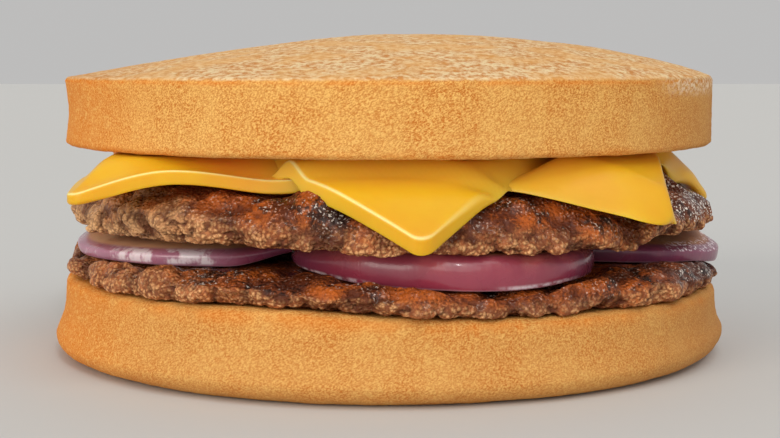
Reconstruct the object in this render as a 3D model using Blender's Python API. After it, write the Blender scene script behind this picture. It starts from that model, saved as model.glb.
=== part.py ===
"""A round sourdough melt: two toasted bread rounds, two beef patties, red onion and two slices of cheese.

Metres, +Z up. The origin is the middle of the flat underside, and the front faces -Y.
Each layer is first built level, and settle() then gives the whole stack its sag and its lean.
"""

import math

import bmesh
import bpy
from mathutils import Vector, noise

# The clearance between layers that lie on each other.
GAP = 0.0003

# Heights of the level stack, from the table up.
BREAD_BOTTOM_TOP = 0.0124
PATTY_LOWER_UNDER = 0.0127
PATTY_LOWER_TOP = 0.0161
ONION_UNDER = 0.0164
ONION_TOP = 0.0213
PATTY_UPPER_UNDER = 0.0216
PATTY_UPPER_TOP = 0.0294
BREAD_TOP_UNDER = 0.0345
BREAD_TOP_RIM = 0.0457

# Radii of the round layers, and how far the heel's wall flares at these heights.
BREAD_BOTTOM_RADIUS = 0.0544
BREAD_BOTTOM_FOOT = 0.0563
BREAD_BOTTOM_FLAT = 0.0508
FOOT_HEIGHT = 0.0032
FOOT_FLARE = ((0.0013, 0.0047), (0.0006, 0.0062), (0.0002, 0.0080))
BREAD_TOP_RADIUS = 0.0542
PATTY_LOWER_RADIUS = 0.0551
PATTY_UPPER_RADIUS = 0.0540

# How the stack settles: the middle stands up, the right side leans down and both sides sag.
CROWN = 0.0016
LEAN = 0.018
SAG = 0.0016

# The lid's dome: its height, its rings as shares of the radius, and how full it is in the middle and to
# each side.
DOME = 0.0072
DOME_RINGS = (0.985, 0.93, 0.85, 0.72, 0.56, 0.38, 0.19, 0)
DOME_FULLNESS = (1.85, 0.45)
DOME_SHOULDER = (0.96, 0.09)

# How round the breads' edges are, in (radius, height) where the two differ.
HEEL_EDGE = 0.0016
LID_LOWER_EDGE = (0.0013, 0.0010)
LID_UPPER_EDGE = 0.0006

# The breads are out of round by these slow waves: so many to a radius, so high, and which of many outlines.
HEEL_WAVES = (1.3, 0.0006, 1)
LID_WAVES = (1.1, 0.0005, 2)

# The patties' shoulders, (width, height), how far their lower edges hang down unevenly, and how far each
# one's relief is moved in the pattern, so that the two differ.
PATTY_LOWER_SHOULDER = (0.0045, 0.0020)
PATTY_UPPER_SHOULDER = (0.0078, 0.0056)
PATTY_LOWER_SAG = 0.0009
PATTY_UPPER_SAG = 0.0004
PATTY_LOWER_OFFSET = 0.11
PATTY_UPPER_OFFSET = 0.37

# The rings of a patty's flat faces, as shares of their radius, and how its skirt's width compares with its
# shoulder's.
UNDER_RINGS = (0, 0.8)
TOP_RINGS = (0.94, 0.75, 0)
SKIRT_SHARE = 0.5

# The relief of the beef: how wide its knuckles, crumbs and slow waves are, and how far they swell.
KNUCKLE = 0.0068
CRUMB = 0.0040
KNUCKLE_WEIGHT = 1.7
CRUMB_WEIGHT = 0.45
CRUMB_SHIFT = Vector((0.3, 0.1, 0.7))
KNUCKLE_RISE = 0.0016
RIM_WAVE = 0.0167
RIM_WANDER = 0.0013
SAG_WAVE = 0.0105

# Relief below the first value sinks a patty's top, its lower edge hangs down in the creases by the second as
# a share of their depth, and the third sets how much of its slow waves hangs below the level edge.
TOP_CREASE = 0.3
HANG_SHARE = 0.6
HANG_LEVEL = 0.2

# Onion: how far its rim hangs over the lower patty's shoulder, between these distances from the radius.
ONION_DROOP = 0.0011
DROOP_SPAN = (-0.0040, 0.0025)

# Each slice's straight side is centred here. Then come its radius, the heading in degrees that its skin
# faces, its thickness, and how far its straight side is lifted.
ONIONS = {
    "onion_left": ((-0.0232, -0.0075), 0.0285, 198, 0.0034, 0.0012),
    "onion_front": ((0.0083, -0.0280), 0.0234, 272, 0.0048, 0),
    "onion_right": ((0.0310, 0.0030), 0.0262, -14, 0.0046, 0),
    "onion_back": ((-0.0020, 0.0240), 0.0250, 90, 0.0048, 0),
}

# The rings of its layers stand on the cut face in steps this deep, at these shares of the radius.
LAYER_STEP = 0.00025
LAYERS = ((0.84, 0), (0.80, -LAYER_STEP), (0.60, 0), (0.55, -LAYER_STEP), (0.30, 0))

# Cheese: its thickness, and its corners from the front one round to the left.
CHEESE_THICKNESS = 0.0021
LOWER_SLICE = ((-0.0478, -0.0460), (0.0430, -0.0460), (0.0425, 0.0420), (-0.0470, 0.0415))
UPPER_SLICE = ((0.0048, -0.0617), (0.0572, 0.0020), (0.0010, 0.0590), (-0.0460, -0.0120))

# Where each slice bends over the patty: towards this heading in degrees, from this radius, at this angle.
LOWER_FALL = (
    (-90, 0.0500, 15),
    (-46, 0.0470, 14),
    (44, 0.0500, 24),
    (136, 0.0500, 24),
    (224, 0.0540, 17),
    (270, 0.0500, 15),
)
UPPER_FALL = (
    (-86, 0.0483, 44),
    (2, 0.0495, 30),
    (89, 0.0490, 36),
    (180, 0.0500, 10),
    (274, 0.0483, 44),
)
LOWER_BEND = 0.0070
UPPER_BEND = 0.0025

# How far the upper slice's left side has spread outwards as it melted.
UPPER_SPREAD = 0.0030

# How far outside the lower slice's edge the upper one starts and ends its step down, in front and elsewhere.
HUG_FRONT = (0.0006, 0.0032)
HUG_ELSEWHERE = (0.0010, 0.0088)
FRONT_ENDS = -0.02

# The upper patty's shoulder stands up beside the lower slice on the right, this high and this far from its
# edge, and the rise ends this far from the middle, front and back.
SHOULDER_RISE = 0.0022
RISE_BESIDE = (0.0008, 0.0034)
RISE_ENDS = (0.014, 0.028)

# How far a slice's corners and its upper and lower edges are cut back, as shares of half its width.
CORNER_CUT = 0.030
EDGE_CUT = 0.012

# Steps round each layer, and cells along a slice, which crowd towards its edges at less than 1.
BREAD_STEPS = 60
PATTY_STEPS = 110
ONION_STEPS = 18
SLICE_CELLS = 18
SLICE_CROWDING = 0.72


def ramp(value, low, high):
    """0 below low, 1 above high, and an S-curve between."""
    t = min(1.0, max(0.0, (value - low) / (high - low)))
    return t * t * (3 - 2 * t)


def settle(point):
    """Where a point of the level stack ends up."""
    x, y, z = point
    across = x / BREAD_TOP_RADIUS
    middle = max(0.0, 1 - across * across - (y / BREAD_TOP_RADIUS) ** 2)
    released = ramp(z, PATTY_UPPER_TOP, BREAD_TOP_UNDER)
    crowned = ramp(z, PATTY_LOWER_UNDER, PATTY_LOWER_TOP) * (1 - ramp(z, BREAD_TOP_UNDER, BREAD_TOP_RIM))
    leaning = ramp(z, 0.0, BREAD_BOTTOM_TOP) * (1 - released)
    sagging = ramp(z, ONION_UNDER, ONION_TOP) * (1 - released)
    change = CROWN * crowned * middle - LEAN * leaning * x - SAG * sagging * across * across
    return Vector((x, y, z + change))


def material(name, colour, roughness):
    made = bpy.data.materials.new(name)
    made.use_nodes = True
    shader = made.node_tree.nodes["Principled BSDF"]
    shader.inputs["Base Color"].default_value = (*colour, 1)
    shader.inputs["Roughness"].default_value = roughness
    shader.inputs["Metallic"].default_value = 0
    made.diffuse_color = (*colour, 1)
    return made


def finished(name, bm, surface, smooth_below=40):
    """The bmesh as a named object, settled with the rest of the stack."""
    for vert in bm.verts:
        vert.co = settle(vert.co)
    bmesh.ops.recalc_face_normals(bm, faces=bm.faces)
    if bm.calc_volume(signed=True) < 0:
        bmesh.ops.reverse_faces(bm, faces=bm.faces)
    mesh = bpy.data.meshes.new(name)
    bm.to_mesh(mesh)
    bm.free()
    mesh.shade_smooth()
    mesh.set_sharp_from_angle(angle=math.radians(smooth_below))
    mesh.materials.append(surface)
    made = bpy.data.objects.new(name, mesh)
    bpy.context.scene.collection.objects.link(made)
    return made


def turned(profile, steps, turn=2 * math.pi):
    """A profile of (radius, height) points, which starts and ends on the axis, spun about Z."""
    bm = bmesh.new()
    verts = [bm.verts.new((radius, 0, height)) for radius, height in profile]
    edges = [bm.edges.new(pair) for pair in zip(verts, verts[1:])]
    whole = turn >= 2 * math.pi
    bmesh.ops.spin(
        bm, geom=verts + edges, cent=(0, 0, 0), axis=(0, 0, 1), angle=turn, steps=steps, use_merge=whole
    )
    bmesh.ops.remove_doubles(bm, verts=bm.verts, dist=1e-6)
    return bm


def arc(centre, radii, start, end, count):
    """Points on an ellipse's arc in (radius, height), from start to end degrees."""
    angles = [math.radians(start + (end - start) * i / (count - 1)) for i in range(count)]
    return [(centre[0] + radii[0] * math.cos(a), centre[1] + radii[1] * math.sin(a)) for a in angles]


def out_of_round(bm, waves):
    """Makes the outline of a turned layer slightly uneven, from half its radius outwards."""
    number, amount, outline = waves
    for vert in bm.verts:
        heading = Vector((vert.co.x, vert.co.y, 0))
        grown = ramp(heading.length, BREAD_TOP_RADIUS / 2, BREAD_TOP_RADIUS)
        if grown > 0:
            outward = heading.normalized()
            wave = noise.noise(outward * number + Vector((0, 0, outline)))
            vert.co += outward * (amount * wave * grown)


def bread_bottom(surface):
    """The heel: flat below and above, with a wall that swells into a rounded foot near the table."""
    foot = BREAD_BOTTOM_FOOT - BREAD_BOTTOM_FLAT
    edge_centre = (BREAD_BOTTOM_RADIUS - HEEL_EDGE, BREAD_BOTTOM_TOP - HEEL_EDGE)
    middle = BREAD_BOTTOM_RADIUS / 2
    profile = [(0, 0), (middle, 0)]
    profile += arc((BREAD_BOTTOM_FLAT, FOOT_HEIGHT), (foot, FOOT_HEIGHT), -90, 0, 6)
    profile += [(BREAD_BOTTOM_RADIUS + flare, height) for flare, height in FOOT_FLARE]
    profile += arc(edge_centre, (HEEL_EDGE, HEEL_EDGE), 0, 90, 3)
    profile += [(middle, BREAD_BOTTOM_TOP), (0, BREAD_BOTTOM_TOP)]
    bm = turned(profile, BREAD_STEPS)
    out_of_round(bm, HEEL_WAVES)
    return finished("bread_bottom", bm, surface)


def bread_top(surface):
    """The lid: an upright wall, a crisp upper rim and a dome, fuller on the right than on the left."""
    waist = 0.5 * (BREAD_TOP_UNDER + BREAD_TOP_RIM)
    lower_centre = (BREAD_TOP_RADIUS - LID_LOWER_EDGE[0], BREAD_TOP_UNDER + LID_LOWER_EDGE[1])
    upper_centre = (BREAD_TOP_RADIUS - LID_UPPER_EDGE, BREAD_TOP_RIM - LID_UPPER_EDGE)
    profile = [(BREAD_TOP_RADIUS * share, BREAD_TOP_UNDER) for share in (0, 0.5, 0.83)]
    profile += arc(lower_centre, LID_LOWER_EDGE, -90, 0, 3)
    profile += [(BREAD_TOP_RADIUS, waist)]
    profile += arc(upper_centre, (LID_UPPER_EDGE, LID_UPPER_EDGE), 0, 80, 3)
    profile += [(BREAD_TOP_RADIUS * share, BREAD_TOP_RIM) for share in DOME_RINGS]
    bm = turned(profile, BREAD_STEPS)
    for vert in bm.verts:
        reach = math.hypot(vert.co.x, vert.co.y) / BREAD_TOP_RADIUS
        if vert.co.z > upper_centre[1] and reach < 1:
            side = vert.co.x / max(reach * BREAD_TOP_RADIUS, 1e-9)
            fullness = DOME_FULLNESS[0] + DOME_FULLNESS[1] * side
            shoulder = DOME_SHOULDER[0] - DOME_SHOULDER[1] * side
            vert.co.z += DOME * (1 - reach**fullness) ** shoulder
    out_of_round(bm, LID_WAVES)
    return finished("bread_top", bm, surface)


def lumps(place, size):
    """About 0.45 on top of each crumb of mince of this size, and -0.45 in the creases between them."""
    return 0.45 - noise.voronoi(place / size)[0][0]


def craggy(place):
    """The relief of seared mince, within about 1 each way: big knuckles with smaller crumbs on them."""
    return KNUCKLE_WEIGHT * lumps(place, KNUCKLE) + CRUMB_WEIGHT * lumps(place + CRUMB_SHIFT, CRUMB)


def patty(name, surface, under, top, radius, shoulder, sag, offset, ceiling, rise=None):
    """A rough round of minced beef with a craggy edge, which stays below the ceiling of what lies on it."""
    widest = top - shoulder[1]
    skirt = (SKIRT_SHARE * shoulder[0], widest - under)
    flat_under = radius - skirt[0]
    flat_top = radius - shoulder[0]
    profile = [(flat_under * share, under) for share in UNDER_RINGS]
    profile += arc((flat_under, widest), skirt, -88, -24, 3)
    profile += arc((flat_top, widest), shoulder, 6, 88, 5)
    profile += [(flat_top * share, top) for share in TOP_RINGS]
    bm = turned(profile, PATTY_STEPS)
    shift = Vector((offset, 2 * offset, 0))
    for vert in bm.verts:
        place = vert.co.copy()
        level = Vector((place.x, place.y, 0))
        bump = craggy(place + shift)
        wander = noise.noise((level + shift) / RIM_WAVE)
        on_rim = ramp(level.length, flat_top, radius - 0.2 * shoulder[0])
        vert.co += level.normalized() * on_rim * (KNUCKLE_RISE * bump + RIM_WANDER * wander)
        if place.z > widest:
            upper = ramp(place.z, widest, top)
            vert.co.z += KNUCKLE_RISE * min(0.0, bump - TOP_CREASE) * upper
            if rise:
                vert.co.z += rise(place.x, place.y) * upper
        else:
            hanging = ramp(level.length, flat_under + 0.4 * skirt[0], radius)
            wave = noise.noise((level - shift) / SAG_WAVE) - HANG_LEVEL
            vert.co.z += hanging * (sag * wave - HANG_SHARE * KNUCKLE_RISE * bump)
        vert.co.z = min(vert.co.z, ceiling(vert.co.x, vert.co.y))
    return finished(name, bm, surface, 60)


def onion_droop(x, y):
    """How far the onion hangs down where it reaches over the lower patty's shoulder."""
    return ONION_DROOP * ramp(math.hypot(x, y) - PATTY_LOWER_RADIUS, *DROOP_SPAN)


def under_onion(x, y):
    """The highest that the lower patty can stand under the onion."""
    return ONION_UNDER - 1.5 * GAP - onion_droop(x, y)


def onion(name, surface, centre, radius, facing, thickness, lift):
    """A half-moon of red onion, whose skin bellies out and whose cut face shows its layers."""
    top = ONION_UNDER + thickness
    belly = ONION_UNDER + 0.5 * thickness
    profile = [(radius * share, ONION_UNDER) for share in (0, 0.6, 0.8, 0.9, 0.95)]
    profile += arc((radius - 0.0006, belly), (0.0006, belly - ONION_UNDER), -60, 0, 3)
    profile += arc((radius - 0.0020, belly), (0.0020, top - belly), 18, 90, 3)
    profile += [(radius * share, top + step) for share, step in LAYERS]
    profile += [(0, top)]
    bm = turned(profile, ONION_STEPS, math.pi)
    bmesh.ops.holes_fill(bm, edges=[edge for edge in bm.edges if edge.is_boundary])
    turn = math.radians(facing - 90)
    for vert in bm.verts:
        x = centre[0] + vert.co.x * math.cos(turn) - vert.co.y * math.sin(turn)
        y = centre[1] + vert.co.x * math.sin(turn) + vert.co.y * math.cos(turn)
        rise = lift * (1 - vert.co.y / radius)
        vert.co = Vector((x, y, vert.co.z + rise - onion_droop(x, y)))
    return finished(name, bm, surface, 35)


def fall(x, y, stops):
    """The radius where a slice bends over the patty towards (x, y), and the angle at which it then hangs."""
    heading = math.degrees(math.atan2(y, x))
    if heading < stops[0][0]:
        heading += 360
    last, radius, steepness = stops[0]
    for after, next_radius, next_steepness in stops[1:]:
        if heading <= after:
            t = ramp(heading, last, after)
            radius += (next_radius - radius) * t
            steepness += (next_steepness - steepness) * t
            break
        last, radius, steepness = after, next_radius, next_steepness
    return radius, math.radians(steepness)


def draped(x, y, height, stops, bend):
    """Where a point of a flat slice lies once it hangs over the patty, at this height off the patty."""
    reach = math.hypot(x, y)
    outward = Vector((x, y, 0)) / max(reach, 1e-9)
    start, steepest = fall(x, y, stops)
    outer = bend + height
    angle = min(steepest, max(0.0, (reach - start) / outer))
    along = max(0.0, reach - start - outer * steepest)
    radius = min(reach, start) + outer * math.sin(angle) + along * math.cos(angle)
    drop = outer * math.cos(angle) - bend - along * math.sin(angle)
    return outward * radius + Vector((0, 0, PATTY_UPPER_TOP + drop))


def under_slice(x, y, stops, bend, raised):
    """The highest that the patty can stand under a slice that hangs over it."""
    start, steepest = fall(x, y, stops)
    beyond = math.hypot(x, y) - start - bend * math.tan(steepest / 2)
    return PATTY_UPPER_TOP - GAP + raised - max(0.0, beyond) * math.tan(steepest)


def shoulder_rise(x, y):
    """How much higher the upper patty's shoulder stands beside the lower slice on the right."""
    beside = ramp(x - LOWER_SLICE[1][0], *RISE_BESIDE)
    return SHOULDER_RISE * beside * (1 - ramp(abs(y), *RISE_ENDS))


def under_cheese(x, y):
    """The highest that the patty can stand under the slices, or just the upper one where it rises beside."""
    lower = under_slice(x, y, LOWER_FALL, LOWER_BEND, 0)
    upper = under_slice(x, y, UPPER_FALL, UPPER_BEND, 0)
    rise = shoulder_rise(x, y)
    if rise > 0:
        return upper + min(rise, slice_height(x, y, LOWER_SLICE) - GAP)
    return min(lower, upper)


def inside_quad(x, y, corners):
    """How far inside the outline of a slice a point lies, negative outside it."""
    depths = []
    for (ax, ay), (bx, by) in zip(corners, corners[1:] + corners[:1]):
        length = math.hypot(bx - ax, by - ay)
        depths.append(((bx - ax) * (y - ay) - (by - ay) * (x - ax)) / length)
    return min(depths)


def slice_height(x, y, beneath):
    """How high a slice's underside is off the patty: up on the slice beneath it, and down past its edge."""
    if beneath is None:
        return GAP
    near, far = HUG_FRONT if y < FRONT_ENDS else HUG_ELSEWHERE
    covered = 1 - ramp(-inside_quad(x, y, beneath), near, far)
    return GAP + covered * (CHEESE_THICKNESS + GAP)


def crease(bm, beneath):
    """Cuts the flat slice along the lines where it folds down over the front edge of the one beneath it."""
    for distance in HUG_FRONT:
        edge = beneath[0][1] - distance
        geometry = bm.verts[:] + bm.edges[:] + bm.faces[:]
        bmesh.ops.bisect_plane(bm, geom=geometry, dist=1e-5, plane_co=(0, edge, 0), plane_no=(0, 1, 0))


def slab():
    """A square slab from -1 to 1 across and 0 to 1 high, with a ring of points halfway up its edge."""
    bm = bmesh.new()
    bmesh.ops.create_grid(bm, x_segments=SLICE_CELLS, y_segments=SLICE_CELLS, size=1)
    raised = bmesh.ops.extrude_face_region(bm, geom=bm.faces[:])["geom"]
    for item in raised:
        if isinstance(item, bmesh.types.BMVert):
            item.co.z = 1
    standing = [edge for edge in bm.edges if edge.verts[0].co.xy == edge.verts[1].co.xy]
    bmesh.ops.subdivide_edges(bm, edges=standing, cuts=1)
    return bm


def cheese(name, surface, corners, stops, bend, spread=0.0, beneath=None):
    """A square slice with rounded corners, draped over the patty and over the slice beneath it."""
    bm = slab()
    front, right, back, left = (Vector(corner) for corner in corners)
    side = left - front
    outward = Vector((-side.y, side.x)).normalized() * spread
    for vert in bm.verts:
        u, v = (math.copysign(abs(c) ** SLICE_CROWDING, c) for c in vert.co.xy)
        off_middle = abs(2 * vert.co.z - 1)
        inset = 1 - CORNER_CUT * abs(u * v) ** 7
        inset *= 1 - EDGE_CUT * off_middle**2 * max(abs(u), abs(v)) ** 30
        s, t = 0.5 * (1 + u * inset), 0.5 * (1 + v * inset)
        level = front.lerp(right, s).lerp(left.lerp(back, s), t) + outward * (4 * t * (1 - t) * (1 - s))
        vert.co = Vector((*level, vert.co.z * CHEESE_THICKNESS))
    if beneath:
        crease(bm, beneath)
    for vert in bm.verts:
        x, y, up = vert.co
        vert.co = draped(x, y, slice_height(x, y, beneath) + up, stops, bend)
    return finished(name, bm, surface, 50)


def build():
    for old in list(bpy.data.objects):
        bpy.data.objects.remove(old)
    toast = material("toast", (0.76, 0.42, 0.13), 0.75)
    beef = material("beef", (0.23, 0.10, 0.05), 0.45)
    skin = material("red_onion", (0.27, 0.07, 0.13), 0.25)
    melted = material("cheese", (0.86, 0.46, 0.04), 0.35)
    bread_bottom(toast)
    patty(
        "patty_lower",
        beef,
        PATTY_LOWER_UNDER,
        PATTY_LOWER_TOP,
        PATTY_LOWER_RADIUS,
        PATTY_LOWER_SHOULDER,
        PATTY_LOWER_SAG,
        PATTY_LOWER_OFFSET,
        under_onion,
    )
    for name, shape in ONIONS.items():
        onion(name, skin, *shape)
    patty(
        "patty_upper",
        beef,
        PATTY_UPPER_UNDER,
        PATTY_UPPER_TOP,
        PATTY_UPPER_RADIUS,
        PATTY_UPPER_SHOULDER,
        PATTY_UPPER_SAG,
        PATTY_UPPER_OFFSET,
        under_cheese,
        shoulder_rise,
    )
    cheese("cheese_lower", melted, LOWER_SLICE, LOWER_FALL, LOWER_BEND)
    cheese("cheese_upper", melted, UPPER_SLICE, UPPER_FALL, UPPER_BEND, UPPER_SPREAD, LOWER_SLICE)
    bread_top(toast)


build()
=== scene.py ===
import math

import bmesh
import bpy
from mathutils import Matrix, Vector, noise


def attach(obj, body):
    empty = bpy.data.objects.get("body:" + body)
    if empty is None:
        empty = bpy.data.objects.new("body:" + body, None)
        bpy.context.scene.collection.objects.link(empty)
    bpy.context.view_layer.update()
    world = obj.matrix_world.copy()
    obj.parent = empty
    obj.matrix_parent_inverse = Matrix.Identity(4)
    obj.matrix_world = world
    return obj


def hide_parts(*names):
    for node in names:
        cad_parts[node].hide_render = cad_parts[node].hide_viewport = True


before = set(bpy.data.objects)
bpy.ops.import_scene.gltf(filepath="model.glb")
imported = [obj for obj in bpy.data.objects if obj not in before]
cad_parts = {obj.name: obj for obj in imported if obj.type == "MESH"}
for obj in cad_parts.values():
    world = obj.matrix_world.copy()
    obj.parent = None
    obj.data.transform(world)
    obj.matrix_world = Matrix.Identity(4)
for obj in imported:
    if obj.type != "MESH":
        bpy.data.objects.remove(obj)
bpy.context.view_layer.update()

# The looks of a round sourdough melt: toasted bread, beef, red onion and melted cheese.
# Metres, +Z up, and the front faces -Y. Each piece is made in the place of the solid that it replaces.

mm = 0.001

stack = {  # heights of the level stack, from the table up, and how far it leans and sags
    "gap": 0.3 * mm,
    "heelTop": 12.4 * mm,
    "lowerBeefUnder": 12.7 * mm,
    "lowerBeefTop": 16.1 * mm,
    "onionUnder": 16.4 * mm,
    "onionTop": 21.3 * mm,
    "upperBeefUnder": 21.6 * mm,
    "upperBeefTop": 29.4 * mm,
    "lidUnder": 34.5 * mm,
    "lidRim": 45.7 * mm,
    "radius": 54.2 * mm,
    "crown": 1.6 * mm,
    "lean": 0.018,
    "sag": 1.6 * mm,
}


def ramp(value, low, high):  # 0 below low, 1 above high, and an S-curve between
    t = min(1.0, max(0.0, (value - low) / (high - low)))
    return t * t * (3 - 2 * t)


def settled(point):  # where a point of the level stack ends up
    x, y, z = point
    across = x / stack["radius"]
    middle = max(0.0, 1 - across * across - (y / stack["radius"]) ** 2)
    released = ramp(z, stack["upperBeefTop"], stack["lidUnder"])
    crowned = ramp(z, stack["lowerBeefUnder"], stack["lowerBeefTop"])
    crowned *= 1 - ramp(z, stack["lidUnder"], stack["lidRim"])
    leaning = ramp(z, 0.0, stack["heelTop"]) * (1 - released)
    sagging = ramp(z, stack["onionUnder"], stack["onionTop"]) * (1 - released)
    change = stack["crown"] * crowned * middle - stack["lean"] * leaning * x
    return Vector((x, y, z + change - stack["sag"] * sagging * across * across))


def tone(red, green, blue):  # a screen colour, 0 to 255, as the shader wants it
    def linear(part):
        part /= 255
        return part / 12.92 if part <= 0.04045 else ((part + 0.055) / 1.055) ** 2.4
    return (linear(red), linear(green), linear(blue), 1)


class Wire:  # an output socket, with Python's operators for the Math nodes
    def __init__(self, finish, socket):
        self.finish, self.socket = finish, socket

    def maths(self, operation, *values):
        return self.finish.node("ShaderNodeMath", {"operation": operation}, *values)

    def __add__(self, other):
        return self.maths("ADD", self, other)

    def __sub__(self, other):
        return self.maths("SUBTRACT", self, other)

    def __rsub__(self, other):
        return self.maths("SUBTRACT", other, self)

    def __mul__(self, other):
        return self.maths("MULTIPLY", self, other)

    __radd__ = __add__
    __rmul__ = __mul__


class Finish:  # a Principled material, built up from what its methods return
    def __init__(self, name, **constants):
        self.material = bpy.data.materials.new(name)
        self.material.use_nodes = True
        self.tree = self.material.node_tree
        self.shader = self.tree.nodes["Principled BSDF"]
        for socket, value in constants.items():
            self.shader.inputs[socket.replace("_", " ")].default_value = value
        self.place = self.node("ShaderNodeTexCoord", {"output": "Object"})

    def node(self, kind, settings, *values, **named):  # any node: its settings, then its sockets
        made = self.tree.nodes.new(kind)
        output = settings.pop("output", 0)
        for setting, value in settings.items():
            setattr(made, setting, value)
        sockets = list(enumerate(values))
        sockets += [(name.replace("_", " "), value) for name, value in named.items()]
        for socket, value in sockets:
            if isinstance(value, Wire):
                self.tree.links.new(value.socket, made.inputs[socket])
            else:
                made.inputs[socket].default_value = value
        return Wire(self, made.outputs[output])

    def attribute(self, name):
        return self.node("ShaderNodeAttribute", {"attribute_name": name, "output": "Fac"})

    def along(self, axis):  # the place along the piece's X, Y or Z, which are 0, 1 and 2
        return self.node("ShaderNodeSeparateXYZ", {"output": axis}, self.place)

    def noise(self, size, detail=3.0, stretch=(1, 1, 1), roughness=0.55, slant=0, output=0):  # soft clouds
        turn = (0, math.radians(slant), 0)
        sizes = [size / side for side in stretch]
        look = {"vector_type": "TEXTURE"}
        place = self.node("ShaderNodeMapping", look, self.place, Rotation=turn, Scale=sizes)
        look = {"Scale": 1.0, "Detail": detail, "Roughness": roughness}
        return self.node("ShaderNodeTexNoise", {"output": output}, place, **look)

    def grains(self, size, warp):  # 1 in the middle of each grain and 0 round it; warp bends the grains
        drift = self.noise(2 * size, 1, output=1)
        bent = self.node("ShaderNodeVectorMath", {"operation": "SCALE"}, drift, Scale=warp)
        place = self.node("ShaderNodeVectorMath", {"operation": "ADD"}, self.place, bent)
        place = self.node("ShaderNodeMapping", {}, place, Scale=[1 / size] * 3)
        return 1 - self.between(self.node("ShaderNodeTexVoronoi", {}, place, Scale=1.0), 0.12, 0.68)

    def between(self, value, low, high):  # 0 to 1 as the value goes from low to high
        settings = {"interpolation_type": "SMOOTHSTEP"}
        return self.node("ShaderNodeMapRange", settings, Value=value, From_Min=low, From_Max=high)

    def band(self, value, rising, falling):  # 1 after the rising span and before the falling one
        return self.between(value, *rising) * (1 - self.between(value, *falling))

    def blend(self, factor, first, second):  # first where the factor is 0, second where it is 1
        made = self.node("ShaderNodeMix", {"data_type": "RGBA", "output": 2}, factor)
        for socket, value in ((6, first), (7, second)):
            if isinstance(value, Wire):
                self.tree.links.new(value.socket, made.socket.node.inputs[socket])
            else:
                made.socket.node.inputs[socket].default_value = value
        return made

    def feed(self, **sockets):  # links what varies to the shader's own sockets
        for name, wire in sockets.items():
            self.tree.links.new(wire.socket, self.shader.inputs[name.replace("_", " ")])

    def bump(self, height, distance, strength=1.0):
        settings = {"output": "Normal"}
        normal = self.node("ShaderNodeBump", settings, Strength=strength, Distance=distance, Height=height)
        self.feed(Normal=normal)


def arc(centre, radii, start, end, count):  # points on an ellipse's arc in (radius, height)
    angles = [math.radians(start + (end - start) * i / (count - 1)) for i in range(count)]
    return [(centre[0] + radii[0] * math.cos(a), centre[1] + radii[1] * math.sin(a)) for a in angles]


def enough(radii, degrees, spacing):  # how many points keep the steps of an arc within the spacing
    return 1 + math.ceil(math.radians(degrees) * max(radii) / spacing)


def finer(profile, spacing):  # the same profile with a point at least this often
    points = profile[:1]
    for (r0, z0), (r1, z1) in zip(profile, profile[1:]):
        cuts = max(1, math.ceil(math.hypot(r1 - r0, z1 - z0) / spacing))
        points += [(r0 + (r1 - r0) * i / cuts, z0 + (z1 - z0) * i / cuts) for i in range(1, cuts + 1)]
    return points


def turned(profile, steps, doublings, turn=2 * math.pi):  # the profile spun about Z
    bm = bmesh.new()
    verts = [bm.verts.new((radius, 0, height)) for radius, height in profile]
    edges = [bm.edges.new(pair) for pair in zip(verts, verts[1:])]
    sector = turn / 2**doublings
    bmesh.ops.spin(bm, geom=verts + edges, angle=sector, steps=steps, cent=(0, 0, 0), axis=(0, 0, 1))
    # One sector that is doubled until it is whole is made far quicker than a whole spin.
    for doubling in range(doublings):
        copied = bmesh.ops.duplicate(bm, geom=bm.verts[:] + bm.edges[:] + bm.faces[:])["geom"]
        verts = [item for item in copied if isinstance(item, bmesh.types.BMVert)]
        onwards = Matrix.Rotation(sector * 2**doubling, 3, "Z")
        bmesh.ops.rotate(bm, verts=verts, cent=(0, 0, 0), matrix=onwards)
    bmesh.ops.remove_doubles(bm, verts=bm.verts, dist=2e-6)
    return bm


def outwards(bm):  # every face of a closed piece points out
    bmesh.ops.recalc_face_normals(bm, faces=bm.faces)
    if bm.calc_volume(signed=True) < 0:
        bmesh.ops.reverse_faces(bm, faces=bm.faces)
    bm.normal_update()


def placed(name, data):
    made = bpy.data.objects.new(name, data)
    bpy.context.scene.collection.objects.link(made)
    return made


def piece(name, bm, material, node):  # the finished piece, which stands for the CAD node
    mesh = bpy.data.meshes.new(name)
    bm.to_mesh(mesh)
    bm.free()
    mesh.shade_smooth()
    mesh.materials.append(material)
    made = placed(name, mesh)
    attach(made, "root")
    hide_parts(node)
    print("made", name, "with", sum(len(face.vertices) - 2 for face in mesh.polygons), "triangles")


# Bread

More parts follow.
